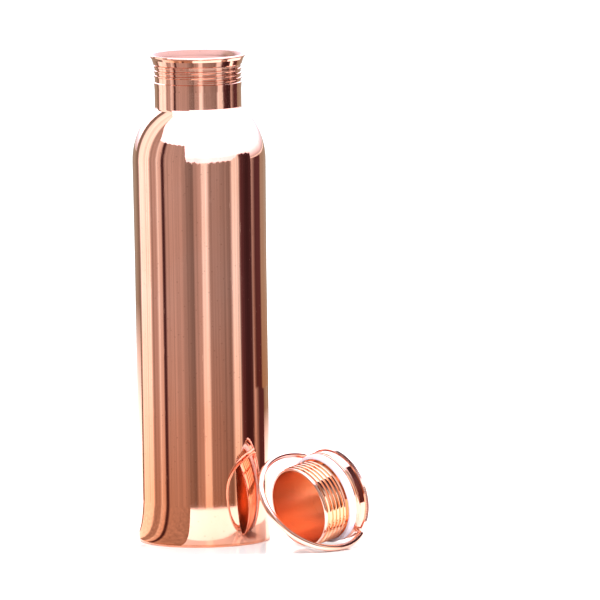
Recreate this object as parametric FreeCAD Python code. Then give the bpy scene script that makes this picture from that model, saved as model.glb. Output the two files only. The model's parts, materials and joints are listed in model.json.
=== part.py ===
import FreeCAD, Part
import math
import os

# A spun copper water bottle with its screw cap lying beside it.
# Origin: centre of the bottle's base, on the table.  +Z: up the bottle.  +X: towards the cap.

# bottle
HEIGHT = 266.0
WALL = 0.9
BASE_R = 35.9
WAIST_Z = 150.0
SHOULDER_R = 36.3
SHOULDER_Z = 208.0
SHOULDER_ARC_R = 39.0
NECK_FILLET_R = 2.0
SEAM_H = 1.6
SEAM_W = 1.9
BASE_DISH = 1.6
SEAM_FILLET = 0.6
DISH_SLOPE_W = 4.0
DISH_MITRE = 0.4

# neck
NECK_Z = 238.0
NECK_R = 23.6
NECK_BORE_R = 22.65
SLEEVE_R = 21.9
SLEEVE_BELOW = 2.2
SLEEVE_ABOVE = 5.5
NECK_PLAIN_H = 9.0
NECK_SWELL = 0.3
LIP_R = 25.9
PITCH = 2.6
NECK_THREAD_Z = 252.4
NECK_THREAD_TURNS = 2.95
ROLL_DEPTH = 0.45
ROLL_W = 1.3
ROLL_SINK = 0.2
RECESS_LEAD = 1.6
RECESS_TAIL = 0.7
RECESS_SLOPE = 0.4
FLARE_START = 0.2
FLARE_MID = (0.85, 4.0)
FLARE_END = (1.25, 2.6)
LIP_ROUND = 0.3
LIP_H = 1.5
LIP_FLAT = 1.0
MOUTH_MID = (1.3, 1.2)
MOUTH_END = (0.7, 3.2)

# cap, measured from the outer face of its closed end towards the open end of the plug
RIM_R = 25.4
RIM_H = 2.4
KNURLS = 150
KNURL_DEPTH = 0.35
RIM_BAND = 2.2
SKIRT_R = 24.6
BEAD_R = 24.95
BEAD_S = 7.0
SKIRT_H = 8.7
CAP_WALL = 0.8
PLUG_R = 21.7
PLUG_LEN = 29.4
PLUG_LIP_R = 22.0
PLUG_LIP_H = 1.6
CREST_R = 22.5
THREAD_SINK = 0.3
THREAD_FOOT = 1.9
THREAD_CREST = 0.7
BRAZE_LEG = 1.2
GASKET_FILLET = 0.5
PLUG_THREAD_S = 14.6
PLUG_THREAD_TURNS = 4.7
GASKET_R = 24.4
GASKET_H = 4.3
GASKET_BORE_R = 22.75
GASKET_GAP = 0.05

# bail, a wire ring hinged on two eyelets in the cap's skirt
WIRE_R = 1.7
BAIL_R = 31.4
HINGE_S = 4.4
HINGE_HALF = 27.5
STUB_R = 1.0
STUB_END = 22.9
EYELET_FIT = 0.05
EYELET_R = 1.5
FLANGE_R = 1.95
EYELET_OUT = 25.3
EYELET_SEAT = 24.1

# where the cap lies
CAP_AT = FreeCAD.Vector(72.9, -25.0, 27.83)
CAP_HEADING = 48.8
CAP_DIP = -11.0
CAP_ROLL = 138.0
BAIL_SWING = 5.1

EPS = 0.001


def save(shape, name):
    shape.exportStep(os.path.join("parts", name + ".step"))
    print(name, shape.isValid(), len(shape.Solids), round(shape.Volume, 1))


def vec(r, z):
    return FreeCAD.Vector(r, 0, z)


def line(p, q):
    return Part.LineSegment(vec(*p), vec(*q)).toShape()


def arc(p, m, q):
    return Part.Arc(vec(*p), vec(*m), vec(*q)).toShape()


def spin(edges):
    face = Part.Face(Part.Wire(edges))
    return face.revolve(FreeCAD.Vector(0, 0, 0), FreeCAD.Vector(0, 0, 1), 360)


def chain(points):
    return [line(p, q) for p, q in zip(points, points[1:] + points[:1])]


def ring(inner, outer, z0, z1):
    tube = Part.makeCylinder(outer, z1 - z0, vec(0, z0))
    return tube.cut(Part.makeCylinder(inner, z1 - z0, vec(0, z0)))


def on_arc(centre, radius, degrees):
    turn = math.radians(degrees)
    return (centre[0] + radius * math.cos(turn), centre[1] + radius * math.sin(turn))


def helix_band(radius, z, turns, inner, outer, foot, crest):
    """A closed band that climbs right-handed, starting at the front of the bottle."""
    path = Part.makeHelix(PITCH, PITCH * turns, radius)
    section = Part.makePolygon([
        vec(inner, -foot / 2),
        vec(outer, -crest / 2),
        vec(outer, crest / 2),
        vec(inner, foot / 2),
        vec(inner, -foot / 2),
    ])
    band = Part.Wire(path).makePipeShell([section], True, True)
    band.rotate(FreeCAD.Vector(0, 0, 0), FreeCAD.Vector(0, 0, 1), -90)
    band.translate(vec(0, z))
    return band


def bottle_body():
    centre = (SHOULDER_R - SHOULDER_ARC_R, SHOULDER_Z)
    across = NECK_R + NECK_FILLET_R - centre[0]
    up = math.sqrt((SHOULDER_ARC_R + NECK_FILLET_R) ** 2 - across ** 2)
    root = (centre[0] + across, centre[1] + up)
    turn = math.degrees(math.atan2(up, across))
    inner_arc = SHOULDER_ARC_R - WALL
    inner_fillet = NECK_FILLET_R + WALL
    outer_end = on_arc(centre, SHOULDER_ARC_R, turn)
    inner_end = on_arc(centre, inner_arc, turn)
    neck_in = NECK_R - WALL
    edges = [
        line((BASE_R, SEAM_H), (BASE_R, WAIST_Z)),
        line((BASE_R, WAIST_Z), (SHOULDER_R, SHOULDER_Z)),
        arc((SHOULDER_R, SHOULDER_Z), on_arc(centre, SHOULDER_ARC_R, turn / 2), outer_end),
        arc(outer_end, on_arc(root, NECK_FILLET_R, 180 + turn / 2), (NECK_R, root[1])),
        line((NECK_R, root[1]), (NECK_R, NECK_Z)),
        line((NECK_R, NECK_Z), (neck_in, NECK_Z)),
        line((neck_in, NECK_Z), (neck_in, root[1])),
        arc((neck_in, root[1]), on_arc(root, inner_fillet, 180 + turn / 2), inner_end),
        arc(inner_end, on_arc(centre, inner_arc, turn / 2), (SHOULDER_R - WALL, SHOULDER_Z)),
        line((SHOULDER_R - WALL, SHOULDER_Z), (BASE_R - WALL, WAIST_Z)),
        line((BASE_R - WALL, WAIST_Z), (BASE_R - WALL, SEAM_H)),
        line((BASE_R - WALL, SEAM_H), (BASE_R, SEAM_H)),
    ]
    return spin(edges)


def base_seam_ring():
    seam = ring(BASE_R - SEAM_W, BASE_R, 0, SEAM_H)
    low = [e for e in seam.Edges if e.BoundBox.ZMax < EPS and e.Closed and e.BoundBox.XMax > BASE_R - EPS]
    return seam.makeFillet(SEAM_FILLET, low)


def base_plate():
    edge = BASE_R - WALL
    flat = BASE_R - SEAM_W - DISH_SLOPE_W
    dish = flat - DISH_SLOPE_W
    low = SEAM_H
    high = SEAM_H + BASE_DISH
    edges = [
        line((0, high), (dish, high)),
        line((dish, high), (flat, low)),
        line((flat, low), (edge, low)),
        line((edge, low), (edge, low + WALL)),
        line((edge, low + WALL), (flat + DISH_MITRE, low + WALL)),
        line((flat + DISH_MITRE, low + WALL), (dish + DISH_MITRE, high + WALL)),
        line((dish + DISH_MITRE, high + WALL), (0, high + WALL)),
        line((0, high + WALL), (0, high)),
    ]
    return spin(edges)


def neck():
    low = NECK_THREAD_Z - RECESS_LEAD
    high = NECK_THREAD_Z + PITCH * NECK_THREAD_TURNS + RECESS_TAIL
    crest = NECK_R + NECK_SWELL
    root = crest - ROLL_DEPTH
    plain = (NECK_R, NECK_Z + NECK_PLAIN_H)
    flare = (crest + FLARE_START, high)
    flare_mid = (NECK_R + FLARE_MID[0], HEIGHT - FLARE_MID[1])
    flare_end = (NECK_R + FLARE_END[0], HEIGHT - FLARE_END[1])
    lip_low = (LIP_R - LIP_ROUND, HEIGHT - LIP_H)
    lip_top = (LIP_R - LIP_ROUND, HEIGHT)
    lip_in = (LIP_R - LIP_FLAT, HEIGHT)
    mouth_mid = (NECK_BORE_R + MOUTH_MID[0], HEIGHT - MOUTH_MID[1])
    mouth_end = (NECK_BORE_R + MOUTH_END[0], HEIGHT - MOUTH_END[1])
    edges = [
        line((NECK_R, NECK_Z), plain),
        line(plain, (crest, low)),
        line((crest, low), (root, low + RECESS_SLOPE)),
        line((root, low + RECESS_SLOPE), (root, high - RECESS_SLOPE)),
        line((root, high - RECESS_SLOPE), flare),
        arc(flare, flare_mid, flare_end),
        line(flare_end, lip_low),
        arc(lip_low, (LIP_R, HEIGHT - LIP_H / 2), lip_top),
        line(lip_top, lip_in),
        arc(lip_in, mouth_mid, mouth_end),
        line(mouth_end, (NECK_BORE_R, high)),
        line((NECK_BORE_R, high), (NECK_BORE_R, NECK_Z)),
        line((NECK_BORE_R, NECK_Z), (NECK_R, NECK_Z)),
    ]
    bead = helix_band(root, NECK_THREAD_Z, NECK_THREAD_TURNS, root - ROLL_SINK, crest,
                      ROLL_W * 1.3, ROLL_W * 0.6)
    ridge = helix_band(NECK_BORE_R, NECK_THREAD_Z - PITCH / 2, NECK_THREAD_TURNS,
                       NECK_BORE_R + ROLL_SINK, NECK_BORE_R - ROLL_DEPTH, ROLL_W, ROLL_W / 2)
    return spin(edges).fuse(bead).fuse(ridge)


def neck_sleeve():
    return ring(SLEEVE_R, NECK_BORE_R, NECK_Z - SLEEVE_BELOW, NECK_Z + SLEEVE_ABOVE)


def knurled_rim():
    points = []
    for i in range(2 * KNURLS):
        turn = math.pi * i / KNURLS
        r = RIM_R - KNURL_DEPTH * (i % 2)
        points.append(FreeCAD.Vector(r * math.cos(turn), r * math.sin(turn), 0))
    outline = Part.makePolygon(points + points[:1])
    rim = Part.Face(outline).extrude(vec(0, RIM_H))
    rim = rim.cut(Part.makeCylinder(RIM_R - RIM_BAND, RIM_H, vec(0, 0)))
    cone = spin(chain([(0, 0), (RIM_R - 0.7, 0), (RIM_R + 0.3, 1.0), (RIM_R + 0.3, RIM_H - 0.5),
                       (RIM_R - 0.2, RIM_H), (0, RIM_H)]))
    return rim.common(cone)


def cap_top():
    edge = RIM_R - RIM_BAND
    edges = [
        line((0, 0.2), (edge - 3, 0.2)),
        arc((edge - 3, 0.2), (edge - 2, 0.45), (edge - 1.5, 1.0)),
        line((edge - 1.5, 1.0), (edge, 1.0)),
        line((edge, 1.0), (edge, 1.0 + CAP_WALL)),
        line((edge, 1.0 + CAP_WALL), (edge - 3, 1.0 + CAP_WALL)),
        line((edge - 3, 1.0 + CAP_WALL), (0, 1.0 + CAP_WALL)),
        line((0, 1.0 + CAP_WALL), (0, 0.2)),
    ]
    return spin(edges)


def cap_skirt():
    inner = SKIRT_R - CAP_WALL
    face = SKIRT_H - CAP_WALL
    edges = [
        line((SKIRT_R, RIM_H), (SKIRT_R, BEAD_S - 0.9)),
        arc((SKIRT_R, BEAD_S - 0.9), (BEAD_R, BEAD_S), (SKIRT_R - 0.1, BEAD_S + 0.8)),
        line((SKIRT_R - 0.1, BEAD_S + 0.8), (SKIRT_R - 0.2, SKIRT_H - 0.4)),
        line((SKIRT_R - 0.2, SKIRT_H - 0.4), (SKIRT_R - 0.6, SKIRT_H)),
        line((SKIRT_R - 0.6, SKIRT_H), (PLUG_R, SKIRT_H)),
        line((PLUG_R, SKIRT_H), (PLUG_R, face)),
        line((PLUG_R, face), (inner, face)),
        line((inner, face), (inner, RIM_H)),
        line((inner, RIM_H), (SKIRT_R, RIM_H)),
    ]
    shell = spin(edges)
    for side in (1, -1):
        at = FreeCAD.Vector(side * (inner - 1), 0, HINGE_S)
        seat = FreeCAD.Vector(side * EYELET_SEAT, 0, HINGE_S)
        out = FreeCAD.Vector(side, 0, 0)
        shell = shell.cut(Part.makeCylinder(EYELET_R, 3, at, out))
        shell = shell.cut(Part.makeCylinder(FLANGE_R, 3, seat, out))
    return shell


def threaded_plug():
    """Hollow plug with a plain spigot that centres the seal, and the thread beyond it."""
    floor = 1.0 + CAP_WALL
    inner = PLUG_R - CAP_WALL
    end = PLUG_LEN - PLUG_LIP_H
    spigot_end = SKIRT_H + GASKET_H
    tube = spin(chain([(0, floor), (PLUG_R, floor), (PLUG_R, SKIRT_H), (CREST_R, SKIRT_H),
                       (CREST_R, spigot_end), (PLUG_R, spigot_end), (PLUG_R, end), (inner, end),
                       (inner, floor + CAP_WALL), (0, floor + CAP_WALL)]))
    thread = helix_band(PLUG_R, PLUG_THREAD_S, PLUG_THREAD_TURNS,
                        PLUG_R - THREAD_SINK, CREST_R, THREAD_FOOT, THREAD_CREST)
    return tube.fuse(thread)


def plug_lip():
    inner = PLUG_R - CAP_WALL - 0.1
    end = PLUG_LEN - PLUG_LIP_H
    edges = [
        line((PLUG_R, end), (PLUG_LIP_R - 0.1, end)),
        arc((PLUG_LIP_R - 0.1, end), (PLUG_LIP_R, end + 0.6), (PLUG_LIP_R - 0.3, PLUG_LEN - 0.2)),
        arc((PLUG_LIP_R - 0.3, PLUG_LEN - 0.2), (PLUG_LIP_R - 0.7, PLUG_LEN), (inner, PLUG_LEN - 0.3)),
        line((inner, PLUG_LEN - 0.3), (inner, end)),
        line((inner, end), (PLUG_R, end)),
    ]
    return spin(edges)


def plug_braze_ring():
    """Braze fillet between the plug and the inside of the skirt's flange."""
    face = SKIRT_H - CAP_WALL
    return spin(chain([(PLUG_R, face), (PLUG_R, face - BRAZE_LEG), (PLUG_R + BRAZE_LEG, face)]))


def gasket():
    """Loose seal round the plug's spigot, wide enough in its bore to pass over the thread."""
    start = SKIRT_H + GASKET_GAP
    soft = ring(GASKET_BORE_R, GASKET_R, start, start + GASKET_H)
    rims = [e for e in soft.Edges if e.Closed and e.BoundBox.XMax > GASKET_R - EPS]
    return soft.makeFillet(GASKET_FILLET, rims)


def bail_eyelets():
    pair = []
    for side in (1, -1):
        out = FreeCAD.Vector(side, 0, 0)
        start = FreeCAD.Vector(side * (SKIRT_R - CAP_WALL - 0.8), 0, HINGE_S)
        seat = FreeCAD.Vector(side * EYELET_SEAT, 0, HINGE_S)
        barrel = Part.makeCylinder(EYELET_R, EYELET_OUT - start.x * side, start, out)
        flange = Part.makeCylinder(FLANGE_R, EYELET_OUT - EYELET_SEAT, seat, out)
        bore = Part.makeCylinder(STUB_R + EYELET_FIT, 6, start, out)
        pair.append(barrel.fuse(flange).cut(bore).removeSplitter())
    return Part.makeCompound(pair)


def bail():
    """Wire ring in the plane of the hinge (local X) and the cap's axis, open between its two stubs."""
    reach = math.sqrt(BAIL_R ** 2 - HINGE_HALF ** 2)
    centre = FreeCAD.Vector(0, 0, reach)
    start = FreeCAD.Vector(HINGE_HALF, 0, 0)
    finish = FreeCAD.Vector(-HINGE_HALF, 0, 0)
    far = FreeCAD.Vector(0, 0, reach + BAIL_R)
    path = Part.Wire(Part.Arc(start, far, finish).toShape())
    radial = start - centre
    tangent = FreeCAD.Vector(-radial.z, 0, radial.x)
    section = Part.Wire(Part.makeCircle(WIRE_R, start, tangent))
    wire = path.makePipeShell([section], True, True)
    for side in (1, -1):
        end = FreeCAD.Vector(side * HINGE_HALF, 0, 0)
        inward = FreeCAD.Vector(-side, 0, 0)
        wire = wire.fuse(Part.makeSphere(WIRE_R, end))
        wire = wire.fuse(Part.makeCylinder(STUB_R, HINGE_HALF - STUB_END, end, inward))
    wire.rotate(FreeCAD.Vector(0, 0, 0), FreeCAD.Vector(1, 0, 0), -BAIL_SWING)
    wire.translate(vec(0, HINGE_S))
    return wire


def cap_place():
    """The lying cap's placement: its local +Z runs from the closed end to the plug's open end."""
    heading = math.radians(CAP_HEADING)
    dip = math.radians(CAP_DIP)
    roll = math.radians(CAP_ROLL)
    axis = FreeCAD.Vector(-math.sin(heading) * math.cos(dip), -math.cos(heading) * math.cos(dip),
                          math.sin(dip))
    up = FreeCAD.Vector(0, 0, 1) - axis * axis.z
    up.normalize()
    level = up.cross(axis)
    hinge = up * math.cos(roll) + level * math.sin(roll)
    turn = FreeCAD.Rotation(hinge, axis.cross(hinge), axis, "ZXY")
    return FreeCAD.Placement(CAP_AT, turn)


def main():
    os.makedirs("parts", exist_ok=True)
    for make in (bottle_body, base_seam_ring, base_plate, neck, neck_sleeve):
        save(make(), make.__name__)
    where = cap_place()
    for make in (knurled_rim, cap_top, cap_skirt, threaded_plug, plug_lip, plug_braze_ring,
                 gasket, bail_eyelets, bail):
        shape = make()
        shape.Placement = where.multiply(shape.Placement)
        save(shape, make.__name__)
    print("cap axis", where.Rotation.multVec(FreeCAD.Vector(0, 0, 1)))
    print("hinge axis", where.Rotation.multVec(FreeCAD.Vector(1, 0, 0)))
    print("hinge point", where.multVec(FreeCAD.Vector(0, 0, HINGE_S)))


main()
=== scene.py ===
import json
import math
import bpy
from mathutils import Matrix, Vector

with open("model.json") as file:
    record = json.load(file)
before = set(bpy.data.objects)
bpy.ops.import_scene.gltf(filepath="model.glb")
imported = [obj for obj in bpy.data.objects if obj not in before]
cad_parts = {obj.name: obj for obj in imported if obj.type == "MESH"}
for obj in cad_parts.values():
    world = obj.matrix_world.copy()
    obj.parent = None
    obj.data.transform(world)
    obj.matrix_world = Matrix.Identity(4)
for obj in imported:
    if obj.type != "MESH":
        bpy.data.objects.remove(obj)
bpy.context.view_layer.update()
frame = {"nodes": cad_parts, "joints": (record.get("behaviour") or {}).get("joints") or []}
NODES = frame["nodes"]

# ---------------------------------------------------------------- the cap's own axes
turn = next(j for j in frame["joints"] if j["name"] == "cap_turn")
swing = next(j for j in frame["joints"] if j["name"] == "bail_swing")
CAP_AT = Vector(turn["pos_m"])
CAP_AXIS = -Vector(turn["axis"]).normalized()
CAP_X = -Vector(swing["axis"]).normalized()
CAP_Y = CAP_AXIS.cross(CAP_X)
UPRIGHT = (Vector((0, 0, 0)), Vector((1, 0, 0)), Vector((0, 1, 0)), Vector((0, 0, 1)))
LYING = (CAP_AT, CAP_X, CAP_Y, CAP_AXIS)


# how far a surface has to look inwards to count as inside, and the soft edge of a bore, both in metres
INWARD = -0.002
BORE_EDGE = 0.0002


# ---------------------------------------------------------------- material building blocks
class Graph:
    def __init__(self, name):
        self.mat = bpy.data.materials.new(name)
        self.mat.use_nodes = True
        self.tree = self.mat.node_tree
        self.tree.nodes.clear()
        self.out = self.add("ShaderNodeOutputMaterial")
        self.bsdf = self.add("ShaderNodeBsdfPrincipled")
        self.link(self.bsdf.outputs[0], self.out.inputs[0])

    @classmethod
    def on(cls, tree):
        """The same helpers on a node tree that already exists."""
        g = cls.__new__(cls)
        g.tree = tree
        return g

    def add(self, kind, **props):
        node = self.tree.nodes.new(kind)
        for key, value in props.items():
            setattr(node, key, value)
        return node

    def link(self, a, b):
        self.tree.links.new(a, b)

    def put(self, socket, value):
        if hasattr(value, "links"):
            self.link(value, socket)
        else:
            socket.default_value = value

    def math(self, op, a, b=0.0, clamp=False):
        node = self.add("ShaderNodeMath", operation=op, use_clamp=clamp)
        self.put(node.inputs[0], a)
        self.put(node.inputs[1], b)
        return node.outputs[0]

    def spread(self, value, low, high, to_low=0.0, to_high=1.0):
        node = self.add("ShaderNodeMapRange")
        node.clamp = True
        self.put(node.inputs[0], value)
        for i, v in enumerate((low, high, to_low, to_high)):
            node.inputs[i + 1].default_value = v
        return node.outputs[0]

    def place(self, axes):
        """Position in a part's own axes: across, across, along its axis, in metres."""
        here = self.add("ShaderNodeTexCoord").outputs["Object"]
        off = self.add("ShaderNodeVectorMath", operation="SUBTRACT")
        self.link(here, off.inputs[0])
        off.inputs[1].default_value = axes[0]
        return self.own(off.outputs[0], axes)

    def own(self, vector, axes):
        """A direction in a part's own axes."""
        join = self.add("ShaderNodeCombineXYZ")
        for i, axis in enumerate(axes[1:]):
            dot = self.add("ShaderNodeVectorMath", operation="DOT_PRODUCT")
            self.link(vector, dot.inputs[0])
            dot.inputs[1].default_value = axis
            self.link(dot.outputs["Value"], join.inputs[i])
        return join.outputs[0]

    def faces_axis(self, here, axes):
        """1 where a surface looks in towards the part's own axis."""
        normal = self.own(self.add("ShaderNodeTexCoord").outputs["Normal"], axes)
        dot = self.add("ShaderNodeVectorMath", operation="DOT_PRODUCT")
        self.link(normal, dot.inputs[0])
        self.link(self.off_axis(here), dot.inputs[1])
        return self.math("LESS_THAN", dot.outputs["Value"], INWARD)

    def off_axis(self, here):
        """From the part's own axis straight out to a point."""
        flat = self.add("ShaderNodeVectorMath", operation="MULTIPLY")
        self.link(here, flat.inputs[0])
        flat.inputs[1].default_value = (1, 1, 0)
        return flat.outputs[0]

    def radius(self, here):
        """Distance from the part's own axis."""
        length = self.add("ShaderNodeVectorMath", operation="LENGTH")
        self.link(self.off_axis(here), length.inputs[0])
        return length.outputs["Value"]

    def scaled(self, vector, scale):
        node = self.add("ShaderNodeMapping")
        self.link(vector, node.inputs["Vector"])
        node.inputs["Scale"].default_value = scale
        return node.outputs[0]

    def noise(self, vector, scale=1.0, detail=3.0, rough=0.5):
        node = self.add("ShaderNodeTexNoise")
        self.link(vector, node.inputs["Vector"])
        node.inputs["Scale"].default_value = scale
        node.inputs["Detail"].default_value = detail
        node.inputs["Roughness"].default_value = rough
        return node.outputs["Fac"]

    def specks(self, vector, scale, size):
        node = self.add("ShaderNodeTexVoronoi")
        self.link(vector, node.inputs["Vector"])
        node.inputs["Scale"].default_value = scale
        return self.spread(node.outputs["Distance"], size, size * 0.4)

    def mix(self, factor, a, b):
        node = self.add("ShaderNodeMix", data_type="RGBA")
        self.put(node.inputs[0], factor)
        self.put(node.inputs[6], a)
        self.put(node.inputs[7], b)
        return node.outputs[2]

    def bump(self, height, distance, strength, normal=None):
        node = self.add("ShaderNodeBump")
        self.link(height, node.inputs["Height"])
        node.inputs["Distance"].default_value = distance
        node.inputs["Strength"].default_value = strength
        if normal is not None:
            self.link(normal, node.inputs["Normal"])
        return node.outputs[0]


def copper(name, axes, light, deep, polish, turned, wear, tarnish, streaks=0.0, inside=None):
    """Polished copper: lathe lines round the axis, fine scratches, handling haze and a little tarnish;
    inside a bore a satin finish and a painted shade that darkens the colour.
    """
    g = Graph(name)
    here = g.place(axes)
    patches = g.noise(g.scaled(here, (26, 26, 12)), 1.0, 4.0, 0.6)
    drift = g.noise(here, 9.0, 2.0)
    haze = g.noise(here, 55.0, 5.0, 0.65)
    lathe = g.noise(g.scaled(here, (12, 12, 2600)), 1.0, 2.0)
    band = g.noise(g.scaled(here, (6, 6, 420)), 1.0, 2.0)
    drawn = g.noise(g.scaled(here, (900, 900, 9)), 1.0, 2.0)
    scratch = g.spread(g.noise(g.scaled(here, (160, 1500, 120)), 1.0, 1.0), 0.70, 0.78)
    cross = g.spread(g.noise(g.scaled(here, (1300, 140, 90)), 1.0, 1.0), 0.71, 0.79)
    spots = g.specks(here, 260.0, 0.16)
    tone = g.mix(g.spread(patches, 0.35, 0.7), light, deep)
    stain = g.math("MULTIPLY", g.spread(drift, 0.52, 0.75), tarnish)
    tone = g.mix(stain, tone, (deep[0] * 0.72, deep[1] * 0.55, deep[2] * 0.42, 1))
    tone = g.mix(g.math("MULTIPLY", spots, tarnish * 0.8), tone, (0.16, 0.05, 0.025, 1))
    g.bsdf.inputs["Metallic"].default_value = 1.0
    rough = g.spread(haze, 0.3, 0.75, polish * 0.7, polish * 1.5)
    rough = g.math("ADD", rough, g.math("MULTIPLY", scratch, 0.10 * wear))
    rough = g.math("ADD", rough, g.math("MULTIPLY", spots, 0.15 * tarnish), True)
    if inside:
        bore, satin, painted_bore_shade = inside
        within = g.spread(g.radius(here), bore, bore + BORE_EDGE, 1.0, 0.0)
        within = g.math("MAXIMUM", within, g.faces_axis(here, axes))
        rough = g.math("MAXIMUM", rough, g.math("MULTIPLY", within, satin))
        # painted shade: inside the bore the colour is scaled down, darkening the recess as if less light
        # reached it
        shade = g.add("ShaderNodeVectorMath", operation="SCALE")
        g.link(tone, shade.inputs[0])
        g.link(g.spread(within, 0.0, 1.0, 1.0, painted_bore_shade), shade.inputs["Scale"])
        tone = shade.outputs[0]
    g.link(tone, g.bsdf.inputs["Base Color"])
    g.link(rough, g.bsdf.inputs["Roughness"])
    lines = g.math("ADD", g.math("MULTIPLY", lathe, 0.6), g.math("MULTIPLY", band, 1.1))
    lines = g.math("ADD", lines, g.math("MULTIPLY", drawn, streaks))
    normal = g.bump(lines, 0.00001, turned)
    marks = g.math("ADD", scratch, cross, True)
    normal = g.bump(marks, 0.000008, wear, normal)
    g.link(normal, g.bsdf.inputs["Normal"])
    return g.mat


def silicone(name, axes):
    g = Graph(name)
    here = g.place(axes)
    cloud = g.noise(here, 120.0, 4.0, 0.6)
    grain = g.noise(here, 2400.0, 2.0)
    rings = g.noise(g.scaled(here, (20, 20, 1500)), 1.0, 1.0)
    tone = g.mix(g.spread(cloud, 0.35, 0.7), (0.70, 0.67, 0.73, 1), (0.60, 0.56, 0.66, 1))
    g.link(tone, g.bsdf.inputs["Base Color"])
    g.link(g.spread(cloud, 0.3, 0.8, 0.28, 0.46), g.bsdf.inputs["Roughness"])
    g.bsdf.inputs["Subsurface Weight"].default_value = 0.2
    g.bsdf.inputs["Subsurface Radius"].default_value = (0.003, 0.0025, 0.0025)
    g.bsdf.inputs["IOR"].default_value = 1.42
    g.link(g.bump(g.math("ADD", grain, rings), 0.00003, 0.4), g.bsdf.inputs["Normal"])
    return g.mat


ROSE = (0.96, 0.53, 0.40, 1)
WARM = (0.93, 0.46, 0.32, 1)
ORANGE = (1.0, 0.49, 0.26, 1)
DEEP = (0.87, 0.38, 0.23, 1)
PALE = (0.98, 0.64, 0.53, 1)

# radius of the bore in metres, its satin roughness, and how much of its colour is kept inside the bore,
# where it is darkened as painted shade
PLUG_INSIDE = (0.0212, 0.27, 1.0)
NECK_INSIDE = (0.0229, 0.30, 0.42)

FINISH = {
    "bottle_body": copper("copper body", UPRIGHT, ROSE, WARM, 0.045, 0.22, 0.5, 0.25, 0.5),
    "neck": copper("copper neck", UPRIGHT, ROSE, WARM, 0.07, 1.0, 0.6, 0.3, 0.0, NECK_INSIDE),
    "base_seam_ring": copper("copper seam", UPRIGHT, WARM, DEEP, 0.16, 0.6, 0.9, 0.7),
    "base_plate": copper("copper base", UPRIGHT, WARM, DEEP, 0.2, 0.8, 1.0, 0.8),
    "neck_sleeve": copper("copper sleeve", UPRIGHT, WARM, DEEP, 0.2, 0.6, 0.4, 0.5),
    "knurled_rim": copper("copper knurl", LYING, PALE, ROSE, 0.12, 0.5, 0.7, 0.4),
    "cap_top": copper("copper cap top", LYING, ROSE, WARM, 0.09, 0.8, 0.9, 0.4),
    "cap_skirt": copper("copper skirt", LYING, ROSE, WARM, 0.07, 0.7, 0.6, 0.3),
    "threaded_plug": copper("copper plug", LYING, ORANGE, ROSE, 0.07, 0.5, 0.5, 0.25, 0.0, PLUG_INSIDE),
    "plug_lip": copper("copper plug lip", LYING, PALE, ROSE, 0.08, 0.5, 0.6, 0.2),
    "plug_braze_ring": copper("braze metal", LYING, WARM, DEEP, 0.3, 0.2, 0.3, 0.7),
    "gasket": silicone("white silicone", LYING),
    "bail_eyelets": copper("copper eyelet", LYING, ROSE, WARM, 0.12, 0.2, 0.6, 0.4),
    "bail": copper("copper wire", LYING, PALE, ROSE, 0.08, 0.15, 0.8, 0.25),
}
for name, node in NODES.items():
    for slot in node.material_slots:
        slot.material = FINISH[name]


# ---------------------------------------------------------------- studio
def emitter(name, build):
    mat = bpy.data.materials.new(name)
    mat.use_nodes = True
    tree = mat.node_tree
    tree.nodes.clear()
    out = tree.nodes.new("ShaderNodeOutputMaterial")
    glow = tree.nodes.new("ShaderNodeEmission")
    tree.links.new(glow.outputs[0], out.inputs[0])
    build(tree, glow)
    return mat


def mesh_object(name, verts, faces, mat):
    mesh = bpy.data.meshes.new(name)
    mesh.from_pydata(verts, [], faces)
    obj = bpy.data.objects.new(name, mesh)
    bpy.context.scene.collection.objects.link(obj)
    obj.data.materials.append(mat)
    return obj


# studio strips: degrees from the front towards the cap's side, brightness, height of the wall in metres
STRIPS = [
    (-180, 0.50, 0.215), (-132, 0.42, 0.215), (-128, 0.28, 0.50), (-122, 0.24, 0.50), (-118, 1.6, 0.50),
    (-92, 1.5, 0.50), (-87, 0.48, 0.40), (-75, 0.50, 0.33), (-73, 1.0, 0.30), (-65, 0.9, 0.30),
    (-63, 0.07, 0.30), (-59, 0.09, 0.30), (-56, 0.58, 0.30), (-24, 0.48, 0.30), (-20, 0.30, 0.214),
    (-11, 0.24, 0.212), (-7, 0.52, 0.214), (2, 0.55, 0.210), (4, 1.30, 0.208), (12, 1.15, 0.210),
    (15, 0.44, 0.213), (50, 0.30, 0.211), (54, 1.20, 0.214), (65, 1.00, 0.235), (68, 0.14, 0.238),
    (80, 0.05, 0.235), (92, 0.07, 0.232), (97, 0.70, 0.064), (109, 0.10, 0.064), (125, 0.12, 0.062),
    (129, 0.42, 0.062), (180, 0.50, 0.062),
]
SURROUND_R = 0.19
SURROUND_FOOT = -0.06
FAR_R = 0.60
FAR_TOP = 0.206
GLOW_FADE = (0.032, 0.11)
NO_FADE = (-0.5, -0.4)
CAP_SIDE_STEEP = 1.2
WARM_BELOW = 0.12
BACK_FROM = 126
STEPS = 240
RAGGED = 0.002


def tint(degrees, value):
    """Bright strips are slightly cool, dark ones red, those behind the object olive, the rest warm."""
    if abs(degrees) > BACK_FROM:
        return (value, value * 0.92, value * 0.74)
    if value > 0.9:
        return (value, value * 1.06, value * 1.10)
    if value < 0.16:
        return (value, value * 0.45, value * 0.55)
    return (value, value * 0.86, value * 0.84)


def strip_top(degrees):
    """Height of the surround at an angle, between the strips' own heights."""
    uneven = RAGGED * (math.sin(degrees * 0.7) + math.sin(degrees * 1.9)) if abs(degrees) < 90 else 0
    for (left, _, low), (right, _, high) in zip(STRIPS, STRIPS[1:]):
        if left <= degrees <= right:
            return low + (high - low) * (degrees - left) / (right - left) + uneven
    return STRIPS[-1][2]


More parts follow.
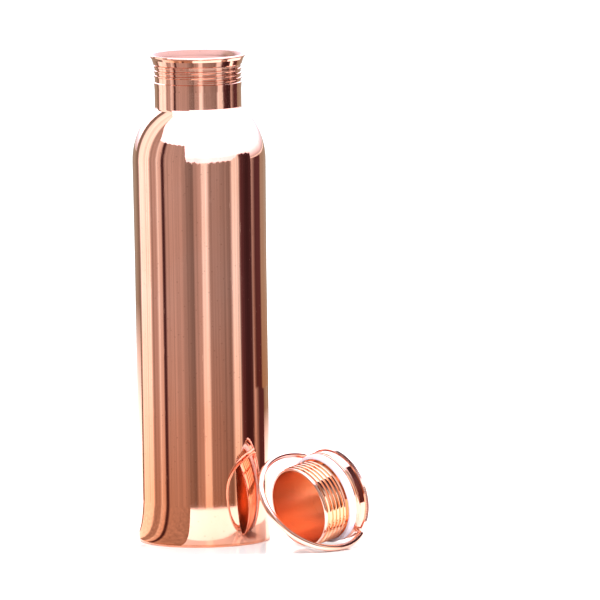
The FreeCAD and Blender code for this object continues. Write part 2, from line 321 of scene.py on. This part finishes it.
def strips(tree, glow, fade):
    """The strips by direction. Behind the object they fade to white towards the table."""
    g = Graph.on(tree)
    here = g.add("ShaderNodeTexCoord").outputs["Object"]
    split = g.add("ShaderNodeSeparateXYZ")
    g.link(here, split.inputs[0])
    angle = g.math("ARCTAN2", split.outputs[0], g.math("MULTIPLY", split.outputs[1], -1.0))
    unit = g.math("ADD", g.math("MULTIPLY", angle, 0.5 / math.pi), 0.5)
    ramp = g.add("ShaderNodeValToRGB")
    ramp.color_ramp.elements.remove(ramp.color_ramp.elements[1])
    for i, (degrees, value, _) in enumerate(STRIPS):
        at = degrees / 360 + 0.5
        stop = ramp.color_ramp.elements[0] if i == 0 else ramp.color_ramp.elements.new(at)
        stop.position = at
        stop.color = (*tint(degrees, value), 1)
    g.link(unit, ramp.inputs[0])
    fine = g.noise(g.scaled(here, (95, 95, 2)), 1.0, 4.0, 0.7)
    shade = g.spread(fine, 0.3, 0.7, 0.68, 1.28)
    scale = g.add("ShaderNodeVectorMath", operation="SCALE")
    g.link(ramp.outputs[0], scale.inputs[0])
    g.link(shade, scale.inputs["Scale"])
    height = split.outputs[2]
    warm = g.mix(g.spread(height, 0.0, WARM_BELOW, 1.0, 0.0), (1, 1, 1, 1), (1.0, 0.72, 0.52, 1))
    warmed = g.add("ShaderNodeVectorMath", operation="MULTIPLY")
    g.link(scale.outputs[0], warmed.inputs[0])
    g.link(warm, warmed.inputs[1])
    back = g.math("GREATER_THAN", g.math("ABSOLUTE", angle), math.radians(BACK_FROM))
    cap_side = g.math("GREATER_THAN", angle, 0.0)
    steep = g.math("ADD", 1.0, g.math("MULTIPLY", cap_side, CAP_SIDE_STEEP))
    low = g.spread(g.math("MULTIPLY", height, steep), *fade, 1.0, 0.0)
    colour = g.mix(g.math("MULTIPLY", back, low), warmed.outputs[0], (2.1, 2.1, 2.15, 1))
    g.link(colour, glow.inputs[0])
    glow.inputs[1].default_value = 1.0


def dome_glow(tree, glow):
    """Overhead light, rosy low down and cool lilac above, a little uneven like a real light tent."""
    g = Graph.on(tree)
    here = g.add("ShaderNodeTexCoord").outputs["Object"]
    split = g.add("ShaderNodeSeparateXYZ")
    g.link(here, split.inputs[0])
    cloth = g.noise(here, 3.0, 3.0)
    front = g.spread(split.outputs[1], -0.1, 0.1, 0.6, 0.0)
    rise = g.math("MAXIMUM", g.spread(split.outputs[2], DOME_FOOT, DOME_FOOT + DOME_FADE), front)
    g.link(g.mix(rise, (0.62, 0.60, 0.66, 1), (2.6, 2.75, 3.5, 1)), glow.inputs[0])
    g.link(g.spread(cloth, 0.3, 0.7, 0.85, 1.1), glow.inputs[1])


def only_reflected(obj):
    obj.visible_camera = False
    obj.visible_diffuse = False
    obj.visible_shadow = False
    obj.visible_transmission = False


def circle(radius, height_at):
    """Points round the bottle's axis, starting behind it, at heights given by their direction."""
    points = []
    for i in range(STEPS):
        degrees = 360 * i / STEPS - 180
        turn = math.radians(degrees)
        points.append((radius * math.sin(turn), -radius * math.cos(turn), height_at(degrees)))
    return points


def wall(name, lower, upper, mat):
    faces = [(i, (i + 1) % STEPS, STEPS + (i + 1) % STEPS, STEPS + i) for i in range(STEPS)]
    only_reflected(mesh_object(name, lower + upper, faces, mat))


strip_mat = emitter("studio strips", lambda tree, glow: strips(tree, glow, GLOW_FADE))
far_mat = emitter("studio far strips", lambda tree, glow: strips(tree, glow, NO_FADE))
wall("studio_strips", circle(SURROUND_R, lambda d: SURROUND_FOOT), circle(SURROUND_R, strip_top), strip_mat)
wall("studio_far_strips", circle(FAR_R, lambda d: SURROUND_FOOT), circle(FAR_R, lambda d: FAR_TOP), far_mat)

# a low card on the table at the left, which carries the strips down to the bottle's foot
CARD_FROM, CARD_TO, CARD_STEPS = -125, -22, 40
CARD_IN, CARD_Z = 0.037, 0.0008
turns = [math.radians(CARD_FROM + (CARD_TO - CARD_FROM) * i / CARD_STEPS) for i in range(CARD_STEPS + 1)]
card = [(r * math.sin(t), -r * math.cos(t), CARD_Z) for r in (CARD_IN, SURROUND_R) for t in turns]
row = CARD_STEPS + 1
card_faces = [(i, i + 1, row + i + 1, row + i) for i in range(CARD_STEPS)]
only_reflected(mesh_object("studio_card", card, card_faces, strip_mat))

DOME_R = 0.9
DOME_FOOT = 0.22
DOME_FADE = 0.16
DOME_Z = 1.1
dome_mat = emitter("studio dome", dome_glow)
rim_top = circle(DOME_R, lambda d: DOME_Z)
wall("studio_dome_side", circle(DOME_R, lambda d: DOME_FOOT), rim_top, dome_mat)
only_reflected(mesh_object("studio_dome_top", rim_top, [tuple(range(STEPS))], dome_mat))

table = Graph("white table")
here = table.place(UPRIGHT)
across = table.add("ShaderNodeSeparateXYZ")
table.link(here, across.inputs[0])
fine = table.noise(here, 40.0, 3.0)
polish = table.spread(fine, 0.3, 0.7, 0.02, 0.04)
front = table.spread(across.outputs[1], -0.066, -0.062, 1.0, 0.0)
behind = table.spread(across.outputs[1], 0.03, 0.08)
left = table.spread(across.outputs[0], -0.040, -0.034, 1.0, 0.0)
right = table.spread(across.outputs[0], 0.096, 0.108)
matte = table.math("MAXIMUM", table.math("MAXIMUM", front, behind), table.math("MAXIMUM", left, right))
table.link(table.math("MAXIMUM", polish, matte), table.bsdf.inputs["Roughness"])
table.bsdf.inputs["Base Color"].default_value = (0.93, 0.93, 0.94, 1)
table.bsdf.inputs["IOR"].default_value = 2.5
FLOOR_HALF = 8
corners = [(x * FLOOR_HALF, y * FLOOR_HALF, 0) for x, y in ((-1, -1), (1, -1), (1, 1), (-1, 1))]
mesh_object("studio_floor", corners, [(0, 1, 2, 3)], table.mat)

world = bpy.data.worlds.new("studio")
bpy.context.scene.world = world
world.use_nodes = True
sky = world.node_tree.nodes["Background"]
sky.inputs[0].default_value = (1.0, 0.985, 1.0, 1)
sky.inputs[1].default_value = 1.25


def lamp(name, at, aim, size, power, tint=(1, 1, 1)):
    data = bpy.data.lights.new(name, "AREA")
    data.shape = "RECTANGLE"
    data.size, data.size_y = size
    data.energy = power
    data.color = tint
    obj = bpy.data.objects.new(name, data)
    bpy.context.scene.collection.objects.link(obj)
    obj.location = at
    obj.rotation_euler = (Vector(aim) - Vector(at)).to_track_quat("-Z", "Y").to_euler()
    obj.visible_glossy = False
    return obj


lamp("key", (-0.9, -1.1, 1.5), (0, 0, 0.1), (1.2, 1.2), 34)
lamp("top", (0.2, 0.1, 1.6), (0.03, 0, 0.1), (1.4, 1.4), 18)

# ---------------------------------------------------------------- camera
TILT = math.radians(6.8)
ROLL = math.radians(-0.85)
AWAY = 6.0
AIM = Vector((0.0538, 0.0, 0.1305))
lens = bpy.data.cameras.new("camera")
lens.sensor_width = 36.0
lens.lens = 660.6
lens.clip_start = 0.05
lens.clip_end = 60.0
camera = bpy.data.objects.new("camera", lens)
bpy.context.scene.collection.objects.link(camera)
camera.matrix_world = (
    Matrix.Translation(AIM + Vector((0, -math.cos(TILT), math.sin(TILT))) * AWAY)
    @ Matrix.Rotation(math.pi / 2 - TILT, 4, "X")
    @ Matrix.Rotation(ROLL, 4, "Z")
)
bpy.context.scene.camera = camera
bpy.context.scene.view_settings.view_transform = "Standard"
bpy.context.scene.view_settings.look = "None"

bpy.context.view_layer.update()
